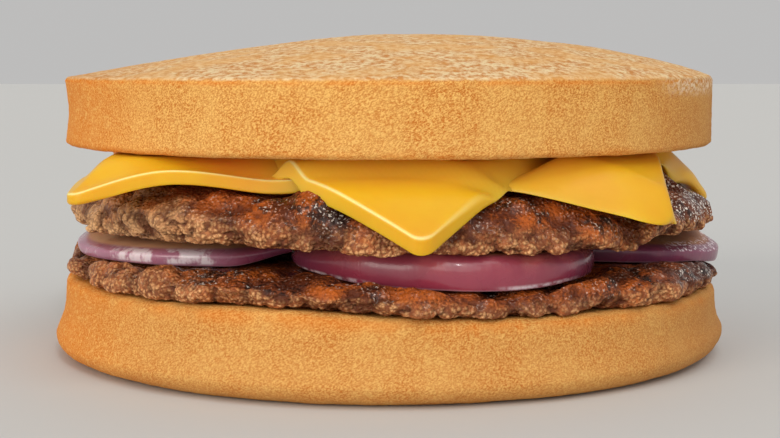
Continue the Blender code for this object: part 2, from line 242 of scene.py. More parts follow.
bread = {
    "steps": (25, 5),  # so many steps, doubled so many times
    "spacing": 0.42 * mm,
    "wallPitch": 7.0 * mm,  # the slow unevenness of the walls, and how deep it is
    "wallDepth": 0.12 * mm,
    "grainSize": 1.0 * mm,
    "grainDepth": 0.07 * mm,
    "edgeNibble": 0.24 * mm,  # how far the cut edges are nibbled
    "edgeNibbleSize": 1.3 * mm,
    "wallFaces": (0.5, 0.95),  # the skin turns from wall to flat between these heights of its normal
    "crownFaces": (0.35, 0.8),  # and from wall to crown between these
    "cloud": 8.0 * mm,  # sizes of the patterns on the wall
    "grit": 0.22 * mm,
    "fleck": 1.7 * mm,
    "toastPatch": 5.0 * mm,
    "speck": 0.5 * mm,
    "scratch": 0.8 * mm,
    "wrinkle": 1.1 * mm,  # and on the crown
    "barePatch": 7.0 * mm,
    "browned": (30 * mm, 55 * mm),  # the left side is toasted darker, from here to here
    "shaded": (30 * mm, 56 * mm),  # and the right side is darker, a painted shade
    "shadedFoot": (4 * mm, 20 * mm),  # and so is the foot, below these heights, also a painted shade
    "golden": tone(226, 146, 50),
    "goldenDark": tone(196, 98, 18),
    "pale": tone(255, 210, 124),
    "toasted": tone(236, 122, 0),
    # the painted shade tone, used on the right side and at the foot
    "dullShade": tone(178, 118, 66),
    "top": tone(246, 184, 106),
    "topPale": tone(255, 232, 186),
    "topBrown": tone(214, 134, 60),
    "scuffed": (39 * mm, 46 * mm),  # the lid's rim is scuffed from here to here, down to this height
    "scuffDown": (42.4 * mm, 44.4 * mm),
    "scuff": tone(255, 236, 204),
}

heel = {
    "radius": 54.4 * mm,
    "foot": 56.3 * mm,
    "flat": 50.8 * mm,  # radius of the flat underside
    "footHeight": 3.2 * mm,
    "flare": ((1.3 * mm, 4.7 * mm), (0.6 * mm, 6.2 * mm), (0.2 * mm, 8.0 * mm)),  # how far out and up
    "edge": 1.6 * mm,
    "flatSpacing": 6.0 * mm,  # the flat faces are coarse, and end so far in from the radius
    "toastedEdges": ((0.4 * mm, 2.2 * mm), (12.0 * mm, 2.4 * mm)),  # height and reach
    "waves": (1.3, 0.6 * mm),  # how often it is out of round, and how far
    "rimRise": (-108, 16, 0.8 * mm),  # its rim stands up round this heading, so wide in degrees and so far
    "rimRiseFrom": (44 * mm, 52 * mm),
    "swell": 1.1 * mm,  # its right side stands out further, above the foot
    "swellFrom": (2.2 * mm, 5.0 * mm),
}

lid = {
    "dome": 7.2 * mm,
    "fullness": (1.85, 0.45),  # powers of the dome's curve, and how far they differ to the right
    "shoulder": (0.96, 0.09),
    "lowerEdge": (1.3 * mm, 1.0 * mm),
    "upperEdge": 0.6 * mm,
    "flatUnder": 4.0 * mm,  # the flat underside is coarse, and ends so far in from the radius
    "flatSpacing": 5.0 * mm,
    "domeFrom": 0.985,  # the dome starts at this share of the radius
    "domeSpacing": 0.74 * mm,
    "toastedEdges": ((34.7 * mm, 1.2 * mm), (45.1 * mm, 0.6 * mm)),
    "waves": (1.1, 0.5 * mm),
    "waist": 0.45 * mm,  # how far the left side's wall is drawn in halfway up
    "swell": 0.3 * mm,  # and how far the right side's stands out
}


def outOfRound(bm, waves, offset):
    number, amount = waves
    for vert in bm.verts:
        level = Vector((vert.co.x, vert.co.y, 0))
        grown = ramp(level.length, stack["radius"] / 2, stack["radius"])
        if grown > 0:
            outward = level.normalized()
            wave = noise.noise(outward * number + Vector((0, 0, offset)))
            vert.co += outward * (amount * wave * grown)


def roughen(bm, edges, pale):  # the uneven skin, nibbled and toasted at these heights of edges
    toast = bm.verts.layers.float.new("toast")
    crown = bm.verts.layers.float.new("crown")
    heights = [vert.co.z for vert in bm.verts]
    for vert in bm.verts:
        vert.co = settled(vert.co)
    outwards(bm)
    normals = [vert.normal.copy() for vert in bm.verts]
    for vert, normal, height in zip(bm.verts, normals, heights):
        near = max(1 - ramp(abs(height - edge), 0, reach) for edge, reach in edges)
        onWall = 1 - ramp(abs(normal.z), *bread["wallFaces"])
        slow = noise.noise(vert.co / bread["wallPitch"])
        grain = noise.noise(vert.co / bread["grainSize"])
        nibble = noise.noise(vert.co / bread["edgeNibbleSize"]) * near * onWall
        vert.co += normal * (bread["wallDepth"] * slow + bread["grainDepth"] * grain)
        vert.co += normal * (bread["edgeNibble"] * nibble)
        vert[toast] = near * onWall
        vert[crown] = pale * ramp(normal.z, *bread["crownFaces"])


def breadFinish():
    skin = Finish(
        "toasted_bread",
        Roughness=0.8,
        Specular_IOR_Level=0.15,
        Subsurface_Weight=0.05,
        Subsurface_Scale=0.001,
        Subsurface_Radius=(1.0, 0.5, 0.2),
    )
    crown, toast = skin.attribute("crown"), skin.attribute("toast")
    across, height = skin.along(0), skin.along(2)
    browned = skin.between(across * -1, *bread["browned"])
    grit = skin.noise(bread["grit"], 3, (0.6, 1, 1), roughness=0.85, slant=-28)
    gritty = skin.between(grit, 0.38, 0.64)
    wall = skin.blend(gritty, bread["goldenDark"], bread["pale"])
    wall = skin.blend(0.84, bread["golden"], wall)
    clouds = skin.between(skin.noise(bread["cloud"], 4), 0.36, 0.66)
    wall = skin.blend(clouds * 0.22, wall, bread["pale"])
    flecks = skin.between(skin.noise(bread["fleck"], 5, (0.7, 1, 1.8), 0.75, slant=-20), 0.56, 0.70)
    wall = skin.blend(flecks * (0.5 + browned * 0.1), wall, bread["pale"])
    wall = skin.blend(browned * (0.8 - gritty * 0.4 - flecks * 0.6), wall, bread["toasted"])
    patches = skin.between(skin.noise(bread["toastPatch"], 3), 0.3, 0.6)
    wall = skin.blend(toast * patches * 0.4, wall, bread["toasted"])
    # painted shade: the right side is darker
    wall = skin.blend(skin.between(across, *bread["shaded"]) * 0.46, wall, bread["dullShade"])
    # painted shade: the foot is darker, though not on the left
    low = 1 - skin.between(height, *bread["shadedFoot"])
    wall = skin.blend(low * (1 - browned) * 0.3, wall, bread["dullShade"])
    specks = skin.between(skin.noise(bread["speck"], 1), 0.59, 0.66)
    wall = skin.blend(specks * (0.1 + browned * 0.5), wall, bread["pale"])
    scuffed = skin.between(across, *bread["scuffed"]) * skin.between(height, *bread["scuffDown"])
    scratches = skin.noise(bread["scratch"], 4, (0.5, 1, 1.5), 0.7, slant=-30)
    wall = skin.blend(scuffed * skin.between(scratches, 0.42, 0.6) * 0.7, wall, bread["scuff"])
    wrinkles = skin.noise(bread["wrinkle"], 6, roughness=0.7)
    bare = skin.between(skin.noise(bread["barePatch"], 3), 0.36, 0.6)
    top = skin.blend(skin.between(wrinkles, 0.38, 0.60), bread["topBrown"], bread["topPale"])
    top = skin.blend(0.4 + bare * 0.45, bread["top"], top)
    top = skin.blend(browned * 0.35, top, bread["topBrown"])
    skin.feed(Base_Color=skin.blend(crown, wall, top))
    skin.bump(grit * 0.5 + wrinkles * (crown + 0.3), 0.4 * mm, 0.9)
    return skin.material


def heelRise(x, y):  # how far the heel's rim stands up towards (x, y)
    at, wide, height = heel["rimRise"]
    heading = math.degrees(math.atan2(y, x))
    outer = ramp(math.hypot(x, y), *heel["rimRiseFrom"])
    return height * math.exp(-(((heading - at) / wide) ** 2)) * outer


def heelPiece(material):
    top, edge, foot = stack["heelTop"], heel["edge"], heel["footHeight"]
    wall = arc((heel["flat"], foot), (heel["foot"] - heel["flat"], foot), -90, 0, 16)
    wall += [(heel["radius"] + flare, height) for flare, height in heel["flare"]]
    wall += arc((heel["radius"] - edge, top - edge), (edge, edge), 0, 90, 8)
    inner = heel["radius"] - heel["flatSpacing"]
    profile = finer([(0, 0), (inner, 0)], heel["flatSpacing"]) + finer(wall, bread["spacing"])
    profile += finer([(inner, top), (0, top)], heel["flatSpacing"])
    bm = turned(profile, *bread["steps"])
    outOfRound(bm, heel["waves"], 1)
    for vert in bm.verts:
        swell = ramp(vert.co.z, *heel["swellFrom"]) * ramp(vert.co.x, 0, heel["radius"])
        vert.co.x *= 1 + heel["swell"] / heel["radius"] * swell
        vert.co.z += heelRise(vert.co.x, vert.co.y) * ramp(vert.co.z, foot, top)
    roughen(bm, heel["toastedEdges"], 0)
    for vert in bm.verts:  # nothing goes through the table
        vert.co.z = max(0.0, vert.co.z)
    piece("heel", bm, material, "bread_bottom")


def lidPiece(material):
    under, rim, radius = stack["lidUnder"], stack["lidRim"], stack["radius"]
    low, high = lid["lowerEdge"], lid["upperEdge"]
    wall = arc((radius - low[0], under + low[1]), low, -90, 0, 9)
    wall += arc((radius - high, rim - high), (high, high), 0, 80, 7)
    profile = finer([(0, under), (radius - lid["flatUnder"], under)], lid["flatSpacing"])
    profile += finer(wall, bread["spacing"])
    profile += finer([(radius * lid["domeFrom"], rim), (0, rim)], lid["domeSpacing"])
    bm = turned(profile, *bread["steps"])
    for vert in bm.verts:
        reach = math.hypot(vert.co.x, vert.co.y) / radius
        if vert.co.z > rim - high and reach < 1:
            side = vert.co.x / max(reach * radius, 1e-9)
            fullness = lid["fullness"][0] + lid["fullness"][1] * side
            shoulder = lid["shoulder"][0] - lid["shoulder"][1] * side
            vert.co.z += lid["dome"] * (1 - reach**fullness) ** shoulder
        elif vert.co.x < 0:
            drawnIn = math.sin(math.pi * ramp(vert.co.z, under, rim)) * ramp(-vert.co.x, 0, radius)
            vert.co.x *= 1 - lid["waist"] / radius * drawnIn
    for vert in bm.verts:
        vert.co.x *= 1 + lid["swell"] / radius * ramp(vert.co.x, 0, radius)
    outOfRound(bm, lid["waves"], 2)
    roughen(bm, lid["toastedEdges"], 1)
    piece("lid", bm, material, "bread_top")


toastedBread = breadFinish()
heelPiece(toastedBread)
lidPiece(toastedBread)

# Beef

beef = {
    "steps": (31, 5),
    "spacing": 0.3 * mm,
    "hidden": 1.2 * mm,  # the spacing where another layer hides the skin
    "shown": 2.4 * mm,  # so far in from its shoulder the flat top still shows
    "skirt": 0.5,  # width of the rim's lower half, as a share of its shoulder's
    "inner": 0.9,  # the top and underside are plain within this share of the flat top
    "knuckle": 6.8 * mm,  # the lumps of the rim, large and small, and how far they stand out
    "crumb": 4.0 * mm,
    "rise": 1.6 * mm,
    "wave": 16.7 * mm,  # the outline wanders, and the lower edge sags, in waves of these sizes
    "wander": 1.3 * mm,
    "sagWave": 10.5 * mm,
    "endsFrom": (40 * mm, 54 * mm),  # where the left and right ends are moved, as each patty says
    "mince": 2.6 * mm,  # the lumps of mince and the granules on them, and how far they swell
    "minceDepth": 0.7 * mm,
    "granule": 1.2 * mm,
    "granuleDepth": 0.5 * mm,
    "warp": 0.9 * mm,  # how far they are bent, in waves of this size
    "warpSize": 1.6 * mm,
    "crustFrom": (-0.15, 0.55),  # the sear starts and is full at these shares of the shoulder's height
    "patch": 5.0 * mm,  # sizes of the patterns
    "grit": 0.7 * mm,
    "gritWarp": 0.4 * mm,
    "fine": 0.42 * mm,
    "pit": 2.0 * mm,
    "burn": 8.0 * mm,
    "burnEdge": 1.3 * mm,
    "wetPatch": 2.4 * mm,
    "paleEnd": (22 * mm, 38 * mm),  # the left end is paler from here to here, above these heights
    "paleAbove": (17 * mm, 21 * mm),
    "wetGlintEnd": (36 * mm, 50 * mm),  # the right end is grey and wet, with painted glints which fade towards the back
    "endGlintFront": (2 * mm, 14 * mm),
    "tan": tone(244, 182, 124),
    "tanLeft": tone(255, 198, 140),
    "brown": tone(184, 106, 60),
    "seared": tone(190, 94, 28),
    "searedDark": tone(92, 39, 12),
    "greyed": tone(72, 44, 40),
    # painted shade, for the creases and pits
    "crease": tone(86, 38, 20),
    "char": tone(34, 18, 14),
    # the colour of the painted glints
    "glint": tone(255, 244, 232),
}

# Where the lower edge hangs is given by heading and width in degrees, and how far down it hangs.
lowerBeef = {
    "under": stack["lowerBeefUnder"],
    "top": stack["lowerBeefTop"],
    "radius": 55.1 * mm,
    "shoulder": (4.5 * mm, 2.0 * mm),
    "sag": 0.9 * mm,
    "offset": 0.11,
    "hangs": ((-114, 20, -0.7 * mm), (-67, 11, 1.4 * mm), (-42, 9, -1.6 * mm)),
    "moved": (0.65 * mm, 0.6 * mm),  # its left and right ends stand so far to the right
    "raised": 0,
}

upperBeef = {
    "under": stack["upperBeefUnder"],
    "top": stack["upperBeefTop"],
    "radius": 54.0 * mm,
    "shoulder": (7.8 * mm, 5.6 * mm),
    "sag": 0.4 * mm,
    "offset": 0.37,
    "hangs": (
        *((-140, 7, -0.8 * mm), (-125, 9, -1.6 * mm), (-105, 8, 0.7 * mm), (-97, 9, 0.5 * mm)),
        *((-85, 24, 1.2 * mm), (-62, 7, 0.7 * mm), (-49, 8, 0.9 * mm)),
    ),
    "moved": (1.0 * mm, 0),
    "raised": 1.6 * mm,  # the right end's lower edge is curled up this far, from here to here
    "raisedFrom": (36 * mm, 41 * mm),
}

# Each onion slice: the middle of its straight side, its radius, the heading that its skin faces in degrees,
# its thickness, and how wide its shoulder is. The lower patty makes room for them.
onionSlices = {
    "left": ((-23.2 * mm, -7.5 * mm), 28.5 * mm, 198, 3.4 * mm, 6.5 * mm),
    "front": ((8.3 * mm, -28.0 * mm), 23.4 * mm, 272, 4.8 * mm, 2.0 * mm),
    "right": ((31.0 * mm, 3.0 * mm), 26.2 * mm, -14, 4.6 * mm, 8.0 * mm),
    "back": ((-2.0 * mm, 24.0 * mm), 25.0 * mm, 90, 4.8 * mm, 2.0 * mm),
}

onionRoom = {
    "droop": 1.1 * mm,  # the slices hang this far over the lower patty's edge, from here to here
    "droopFrom": (-4.0 * mm, 2.5 * mm),
    "clear": 0.4 * mm,  # the patty is kept down so far round a slice, and so far below it
    "below": 0.75 * mm,
    "rise": 1.5 * mm,  # between the slices its rim rises this far, so far from them and from the middle
    "riseBeside": (0.3 * mm, 2.5 * mm),
    "riseFrom": (40 * mm, 48 * mm),
}


def droop(x, y):  # how far the onion hangs over the lower patty's shoulder
    return onionRoom["droop"] * ramp(math.hypot(x, y) - lowerBeef["radius"], *onionRoom["droopFrom"])


def outsideOnion(x, y):  # how far a point lies outside the nearest onion slice
    distances = []
    for centre, radius, facing, *_ in onionSlices.values():
        dx, dy, heading = x - centre[0], y - centre[1], math.radians(facing)
        onSide = dx * math.cos(heading) + dy * math.sin(heading)
        distances.append(max(math.hypot(dx, dy) - radius, -onSide))
    return min(distances)


def underOnion(x, y):  # how high the lower patty can stand
    if outsideOnion(x, y) < onionRoom["clear"]:
        return stack["onionUnder"] - onionRoom["below"] - droop(x, y)
    return stack["upperBeefUnder"]


def betweenOnion(x, y):  # how far the lower patty rises where no slice lies on it
    free = ramp(outsideOnion(x, y), *onionRoom["riseBeside"])
    return onionRoom["rise"] * free * ramp(math.hypot(x, y), *onionRoom["riseFrom"])


def crumbs(place, size):  # 0.45 on top of each crumb, and -0.45 in the creases between them
    return 0.45 - noise.voronoi(place / size)[0][0]


def knuckles(place):  # large lumps with smaller ones on them
    small = crumbs(place + Vector((0.3, 0.1, 0.7)), beef["crumb"])
    return 1.7 * crumbs(place, beef["knuckle"]) + 0.45 * small


def lumps(place, size):  # 0.25 on top of each rounded lump, and -0.75 in the creases between them
    return math.sqrt(max(0.0, 1 - (noise.voronoi(place / size)[0][0] / 0.8) ** 2)) - 0.75


# A patty has a rounded rim of lumps. It rises by rise(x, y), but stays under ceiling(x, y).
def patty(name, node, shape, material, ceiling, rise):
    under, top, radius, offset = shape["under"], shape["top"], shape["radius"], shape["offset"]
    widest = top - shape["shoulder"][1]
    skirt = (beef["skirt"] * shape["shoulder"][0], widest - under)
    flatUnder, flatTop = radius - skirt[0], radius - shape["shoulder"][0]
    inner = beef["inner"] * flatTop
    fine, coarse = beef["spacing"], beef["hidden"]
    rim = arc((flatUnder, widest), skirt, -90, 0, enough(skirt, 90, fine))[1:]
    rim += arc((flatTop, widest), shape["shoulder"], 4, 90, enough(shape["shoulder"], 86, fine))
    profile = [(0, under)]
    for spacing, points in (
        (4 * coarse, [(inner, under)]),
        (coarse, [(flatUnder, under)]),
        (fine, rim + [(flatTop - beef["shown"], top)]),
        (coarse, [(inner, top)]),
        (4 * coarse, [(0, top)]),
    ):
        profile += finer(profile[-1:] + points, spacing)[1:]
    bm = turned(profile, *beef["steps"])
    crease, crust = bm.verts.layers.float.new("crease"), bm.verts.layers.float.new("crust")
    crustLow, crustFull = (widest + share * (top - widest) for share in beef["crustFrom"])
    shift = Vector((offset, 2 * offset, 0))
    for vert in bm.verts:
        place = vert.co.copy()
        level = Vector((place.x, place.y, 0))
        vert[crust] = ramp(place.z, crustLow, crustFull)
        if level.length < inner - coarse:
            vert.co = settled(vert.co)
            continue
        bump = knuckles(place + shift)
        wander = noise.noise((level + shift) / beef["wave"])
        onRim = ramp(level.length, flatTop, radius - 0.2 * shape["shoulder"][0])
        vert.co += level.normalized() * onRim * (beef["rise"] * bump + beef["wander"] * wander)
        vert.co.x += shape["moved"][place.x > 0] * ramp(abs(place.x), *beef["endsFrom"])
        upper, lower = ramp(place.z, widest, top), 1 - ramp(place.z, under, top)
        hanging = ramp(level.length, flatUnder + 0.4 * skirt[0], radius)
        wave = noise.noise((level - shift) / beef["sagWave"]) - 0.2
        heading = math.degrees(math.atan2(place.y, place.x))
        low = sum(depth * math.exp(-(((heading - at) / wide) ** 2)) for at, wide, depth in shape["hangs"])
        low = hanging * (shape["sag"] * wave - 0.6 * beef["rise"] * bump - low)
        high = rise(place.x, place.y) + beef["rise"] * min(0.0, bump - 0.3)
        vert.co.z += high * upper + low * (1 - upper)
        if shape is lowerBeef:
            vert.co.z += heelRise(place.x, place.y) * lower
        if shape["raised"]:
            vert.co.z += shape["raised"] * lower * ramp(place.x, *shape["raisedFrom"])
        # how deep in a crease the point lies, for the painted shade there
        vert[crease] = max(0.0, 0.1 - bump) * 0.6
        vert.co = settled(vert.co)
    outwards(bm)
    normals = [vert.normal.copy() for vert in bm.verts]
    for vert, normal in zip(bm.verts, normals):
        reach = math.hypot(vert.co.x, vert.co.y)
        if reach < inner:
            continue
        place = vert.co + beef["warp"] * noise.noise_vector(vert.co / beef["warpSize"])
        side = (1 - 0.5 * vert[crust]) * ramp(reach, inner, flatTop)
        mince, granule = lumps(place, beef["mince"]), lumps(place + shift, beef["granule"])
        vert.co += normal * (side * (beef["minceDepth"] * mince + beef["granuleDepth"] * granule))
        vert[crease] += side * max(0.0, 0.1 - mince - 0.5 * granule)
        x, y = vert.co.xy
        vert.co.z = min(vert.co.z, settled((x, y, ceiling(x, y))).z)
    piece(name, bm, material, node)


def beefFinish():
    meat = Finish("seared_beef", Specular_IOR_Level=0.25, Coat_Roughness=0.14)
    crease = meat.between(meat.attribute("crease"), 0.05, 0.75)
    across, depth, height = meat.along(0), meat.along(1), meat.along(2)
    upper = meat.between(height, *beef["paleAbove"])
    leftEnd = meat.between(across * -1, *beef["paleEnd"])
    rightEnd = meat.between(across, *beef["wetGlintEnd"])
    # the right end's painted glints fade towards the back
    wetGlintEnd = rightEnd * (1 - meat.between(depth, *beef["endGlintFront"]) * 0.75)
    crust = meat.attribute("crust") * (1 - leftEnd * 0.6)
    patches = meat.noise(beef["patch"], 4)
    grit = meat.grains(beef["grit"], beef["gritWarp"])
    fine = meat.noise(beef["fine"], 3, roughness=0.7)
    side = meat.blend(meat.between(fine + grit * 0.3, 0.42, 0.80), beef["brown"], beef["tan"])
    side = meat.blend(leftEnd * (upper * 0.85 + 0.05), side, beef["tanLeft"])
    side = meat.blend(meat.between(patches, 0.5, 0.68) * 0.5, side, beef["seared"])
    top = meat.blend(meat.between(fine * 0.7 + patches, 0.72, 0.98), beef["searedDark"], beef["seared"])
    colour = meat.blend(crust, side, top)
    colour = meat.blend(rightEnd * crust * 0.75, colour, beef["greyed"])
    # painted shade in the pits between the grains
    pitShade = (1 - meat.between(grit, 0.0, 0.35)) * meat.between(meat.noise(beef["pit"], 2), 0.35, 0.55)
    colour = meat.blend(pitShade * (0.6 - crust * 0.3), colour, beef["crease"])
    # painted shade in the creases between the lumps
    colour = meat.blend(crease * 0.85, colour, beef["crease"])
    burnt = meat.noise(beef["burn"], 2) + meat.noise(beef["burnEdge"], 4, roughness=0.7) * 0.8
    burnt = meat.between(burnt, 0.94, 1.1) * crust
    colour = meat.blend(burnt * 0.92, colour, beef["char"])
    wet = meat.between(meat.noise(beef["wetPatch"], 3), 0.42, 0.62)
    onEnd = wetGlintEnd * (upper * 0.75 + 0.15) * meat.between(crust, 0.05, 0.4)
    # painted glints: white specks in the base colour on the wet and charred crust and on the right end
    sparkle = meat.between(meat.noise(beef["fine"], 2) + wetGlintEnd * 0.04, 0.59, 0.65)
    sparkle = sparkle * (crust * (burnt * 0.4 + wet * 0.35) + onEnd)
    meat.feed(
        Base_Color=meat.blend(sparkle, colour, beef["glint"]),
        Roughness=0.6 - wet * 0.2,
        Coat_Weight=crust * (wet * 0.4 + rightEnd * 0.4),
    )
    meat.bump((grit + fine * 0.8) * (1 - crust * 0.4), 0.4 * mm, 1.0)
    return meat.material


searedBeef = beefFinish()
patty("beef_lower", "patty_lower", lowerBeef, searedBeef, underOnion, betweenOnion)

# Red onion

onion = {
    "steps": (20, 3),
    "spacing": 0.5 * mm,
    "bulge": 0.6 * mm,  # how far the skin bulges below the shoulder
    "layerStep": 0.25 * mm,  # the layers stand in steps this deep, at these shares of the radius
    "layers": (0.84, 0.80, 0.60, 0.55, 0.30),
    "rindFrom": (2.2 * mm, 1.2 * mm),  # the cut face turns to skin so far in from the rim
    "fibre": 0.5 * mm,  # sizes of the patterns
    "cloud": 7.0 * mm,
    "highlightSheet": 2.2 * mm,
    "streak": 1.5 * mm,
    "glint": 0.7 * mm,
    "ripple": 2.5 * mm,
    "redder": ((-18 * mm, -6 * mm), (22 * mm, 32 * mm)),  # where the skin is redder
    "litLeftFrom": (20 * mm, 27 * mm),  # and paler mauve to the left, painted light and sheen, with two sheets of painted highlight
    "highlightSheets": (((-44 * mm, -41 * mm), (-37 * mm, -34 * mm)), ((-35 * mm, -32.5 * mm), (-28 * mm, -25 * mm))),
    # painted highlight streaks along the lower edge, here and here
    "streaks": (((-15 * mm, -12 * mm), (-7 * mm, -1 * mm)), ((14 * mm, 19 * mm), (25 * mm, 29 * mm))),
    "glintFrom": (43 * mm, 48 * mm),  # where it has painted glints, to the right, which fade towards the back
    "glintFront": (2 * mm, 14 * mm),
    "skin": tone(152, 66, 94),
    "litMauve": tone(198, 138, 162),
    "skinDark": tone(124, 58, 88),
    "red": tone(152, 46, 58),
    "blush": tone(198, 114, 98),
    # the painted highlight colour, for the sheets, streaks and glints
    "paintedHighlight": tone(250, 236, 242),
    # the pale lower edge: partly the pale cut edge, partly a painted highlight
    "rim": tone(206, 160, 174),
    "cut": tone(160, 104, 66),
    "cutPale": tone(192, 142, 102),
    # the left slice's cut face, painted lighter
    "cutLitLeft": tone(236, 184, 142),
}


# How the slices curl: the axis, from where to where, and how far the lower and upper faces rise.
onionCurls = {
    "left": ((0, -24.0 * mm, -13.0 * mm, 2.2 * mm, 0.4 * mm), (1, -20.0 * mm, 0, 0.8 * mm, 1.2 * mm)),
    "front": ((0, -4.0 * mm, -15.0 * mm, 0, -2.0 * mm), (1, -40.0 * mm, -49.0 * mm, -0.45 * mm, 0)),
    "right": ((1, -12.0 * mm, 12.0 * mm, 0, 2.4 * mm),),
    "back": (),
}


def onionPiece(side, centre, radius, facing, thickness, shoulderWidth, material):
    under, top = stack["onionUnder"], stack["onionUnder"] + thickness
    belly, bulge = under + 0.5 * thickness, onion["bulge"]
    profile = [(0, under), (0.95 * radius, under)]
    profile += arc((radius - bulge, belly), (bulge, belly - under), -70, 0, 8)
    profile += arc((radius - shoulderWidth, belly), (shoulderWidth, top - belly), 8, 90, 16)
    steps = (0, -1, 0, -1, 0)
    for share, step in zip(onion["layers"], steps):
        if radius * share < radius - shoulderWidth:
            profile.append((radius * share, top + onion["layerStep"] * step))
    bm = turned(finer(profile + [(0, top)], onion["spacing"]), *onion["steps"], math.pi)
    bmesh.ops.holes_fill(bm, edges=[edge for edge in bm.edges if edge.is_boundary])
    rind, level = bm.verts.layers.float.new("rind"), bm.verts.layers.float.new("level")
    turn = math.radians(facing - 90)
    for vert in bm.verts:
        reach = math.hypot(vert.co.x, vert.co.y)
        vert[rind] = ramp(reach, *(radius - inward for inward in onion["rindFrom"]))
        vert[level] = (vert.co.z - under) / thickness
        x = centre[0] + vert.co.x * math.cos(turn) - vert.co.y * math.sin(turn)
        y = centre[1] + vert.co.x * math.sin(turn) + vert.co.y * math.cos(turn)
        rise = 0
        for axis, start, end, lower, upper in onionCurls[side]:
            rise += ramp((x, y)[axis], start, end) * (lower + (upper - lower) * vert[level])
        vert.co = settled((x, y, vert.co.z + rise - droop(x, y)))
    outwards(bm)
    piece("onion_slice_" + side, bm, material, "onion_" + side)


def onionFinish():
    flesh = Finish(
        "wet_red_onion",
        Subsurface_Weight=0.12,
        Subsurface_Scale=0.0012,
        Subsurface_Radius=(1.0, 0.3, 0.5),
        Coat_Roughness=0.1,
    )
    rind, level = flesh.attribute("rind"), flesh.attribute("level")
    across, depth = flesh.along(0), flesh.along(1)
    left = flesh.between(across * -1, *onion["litLeftFrom"])
    fibres = flesh.noise(onion["fibre"], 2, (1, 1, 0.08))
    clouds = flesh.noise(onion["cloud"], 3)
    skin = flesh.blend(flesh.between(fibres * 0.15 + clouds, 0.38, 0.82), onion["skinDark"], onion["skin"])
    skin = flesh.blend(flesh.band(across, *onion["redder"]) * 0.6, skin, onion["red"])
    upper = flesh.between(level, 0.35, 0.95)
    skin = flesh.blend(upper * flesh.between(clouds, 0.35, 0.75) * 0.6, skin, onion["blush"])
    # the left slice is painted a paler mauve, painted light and sheen
    skin = flesh.blend(left * 0.6, skin, onion["litMauve"])
    highlightSheets, streaks = ([flesh.band(across, *span) for span in onion[name]] for name in ("highlightSheets", "streaks"))
    # bright sheets on the left slice, painted highlights
    highlightSheet = (highlightSheets[0] + highlightSheets[1]) * 0.4 + flesh.noise(onion["highlightSheet"], 4) * 1.5 + fibres * 0.5
    highlightSheet = flesh.between(highlightSheet, 1.16, 1.5) * left * flesh.band(level, (0.04, 0.2), (0.7, 0.95))
    skin = flesh.blend(highlightSheet * 0.85, skin, onion["paintedHighlight"])
    # painted highlight streaks along the lower edge
    streak = (streaks[0] + streaks[1]) * flesh.between(flesh.noise(onion["streak"], 3), 0.36, 0.62)
    streak = streak * flesh.band(level, (0.02, 0.07), (0.09, 0.20))
    skin = flesh.blend(streak * 0.75, skin, onion["paintedHighlight"])
    # the lower edge is paler, partly the pale cut edge and partly a painted highlight
    paleEdgeAndHighlight = 1 - flesh.between(level, 0.02, 0.10)
    skin = flesh.blend(paleEdgeAndHighlight * 0.7, skin, onion["rim"])
    cut = flesh.blend(flesh.between(clouds, 0.4, 0.65), onion["cut"], onion["cutPale"])
    # and its cut face is painted lighter, painted light
    cut = flesh.blend(left * 0.8, cut, onion["cutLitLeft"])
    # painted glints on the right slice's top
    glints = flesh.between(flesh.noise(onion["glint"], 2), 0.54, 0.60)
    glints = glints * flesh.between(across, *onion["glintFrom"])
    glints = glints * (1 - flesh.between(depth, *onion["glintFront"]))
    glints = glints * flesh.band(level, (0.5, 0.62), (0.84, 0.92))
    flesh.feed(
        Base_Color=flesh.blend(glints * 0.95, flesh.blend(rind, cut, skin), onion["paintedHighlight"]),
        Roughness=0.62 - rind * 0.28 - flesh.between(clouds, 0.4, 0.7) * 0.12,
        Coat_Weight=rind * (flesh.between(clouds, 0.35, 0.6) * 0.4 + 0.15),
    )
    flesh.bump(fibres * 0.4 + flesh.noise(onion["ripple"], 2, (1, 1, 0.3)), 0.14 * mm, 0.6)
    return flesh.material


wetOnion = onionFinish()
for sliceSide, sliceShape in onionSlices.items():
    onionPiece(sliceSide, *sliceShape, wetOnion)

# Cheese

